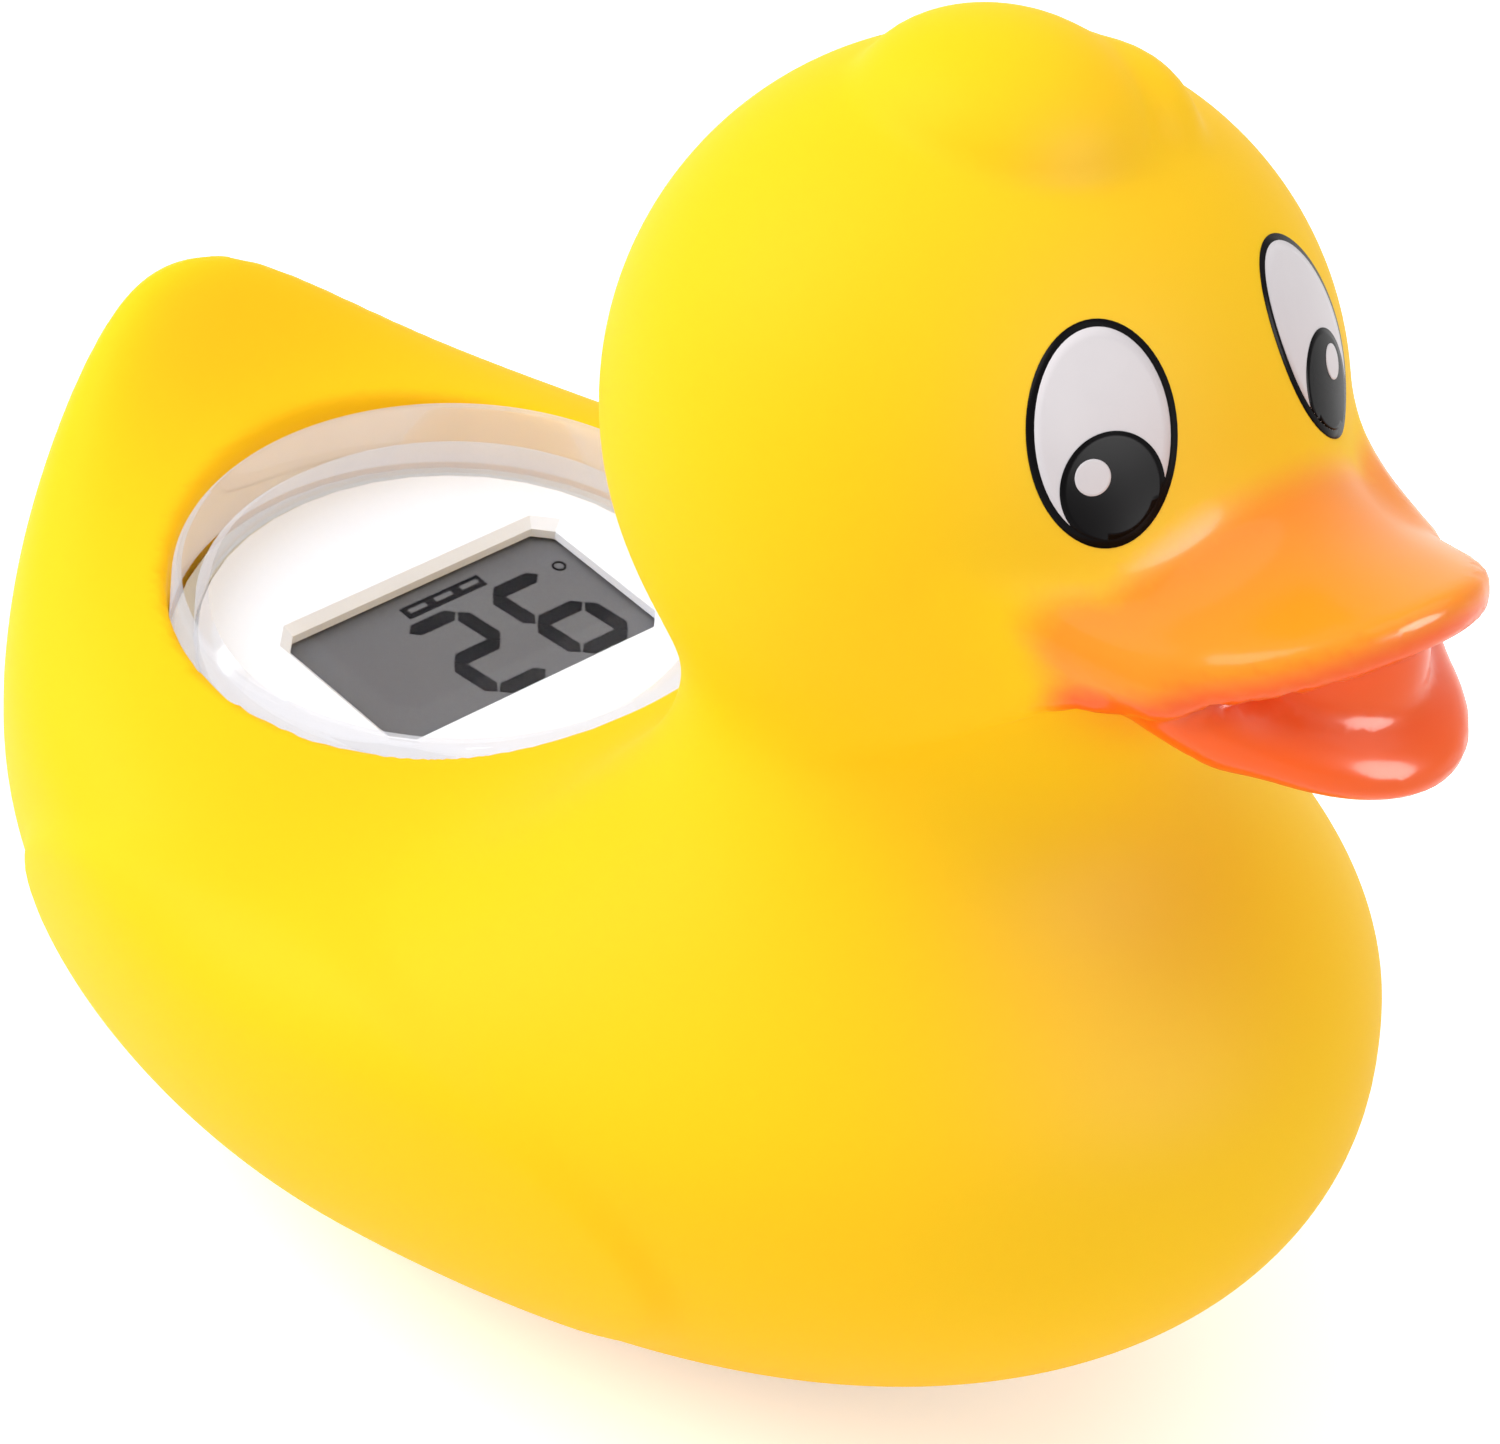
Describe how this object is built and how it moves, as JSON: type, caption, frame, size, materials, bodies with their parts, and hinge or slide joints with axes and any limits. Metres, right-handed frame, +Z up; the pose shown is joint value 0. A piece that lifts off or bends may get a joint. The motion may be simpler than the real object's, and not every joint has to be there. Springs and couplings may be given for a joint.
{
  "type": "bath thermometer duck",
  "caption": "Yellow bath duck of hollow vinyl with an orange bill and a round clear window in its back over a small digital water thermometer.",
  "frame": {"origin": "under the middle of the duck's bounding box, on the ground plane of its flat sole", "axes": "+X from tail to bill, +Y to the duck's left, +Z up"},
  "size_m": [0.1268, 0.0756, 0.1031],
  "materials": {
    "skin_vinyl": "soft satin vinyl, bill sprayed orange",
    "clear_plastic": "clear, polished",
    "seal_rubber": "matt",
    "white_plastic": "fine matt",
    "display_glass": "grey liquid crystal behind glass",
    "zebra_rubber": "striped, matt",
    "board_laminate": "green varnish",
    "black_epoxy": "poured, half gloss",
    "nickel_plate": "bright plate",
    "steel": "drawn steel",
    "bead_black": "dipped bead",
    "wire_red": "wire sleeve",
    "wire_black": "wire sleeve"
  },
  "bodies": {
    "root": {"duck_skin": "skin_vinyl", "lens_cover": "clear_plastic", "lens_seal": "seal_rubber", "module_tray": "white_plastic", "face_plate": "white_plastic", "lcd_panel": "display_glass", "zebra_front": "zebra_rubber", "zebra_rear": "zebra_rubber", "circuit_board": "board_laminate", "board_screw_rear_right": "steel", "board_screw_rear_left": "steel", "board_screw_front_right": "steel", "board_screw_front_left": "steel", "chip_blob": "black_epoxy", "crystal_can": "nickel_plate", "rear_housing": "white_plastic", "battery_right": "nickel_plate", "battery_left": "nickel_plate", "contact_positive": "nickel_plate", "contact_negative": "nickel_plate", "contact_bridge": "nickel_plate", "battery_door": "white_plastic", "door_screw": "steel", "sensor_plug": "white_plastic", "sensor_cap": "steel", "thermistor": "bead_black", "lead_right": "wire_red", "lead_left": "wire_black"}
  },
  "joints": []
}
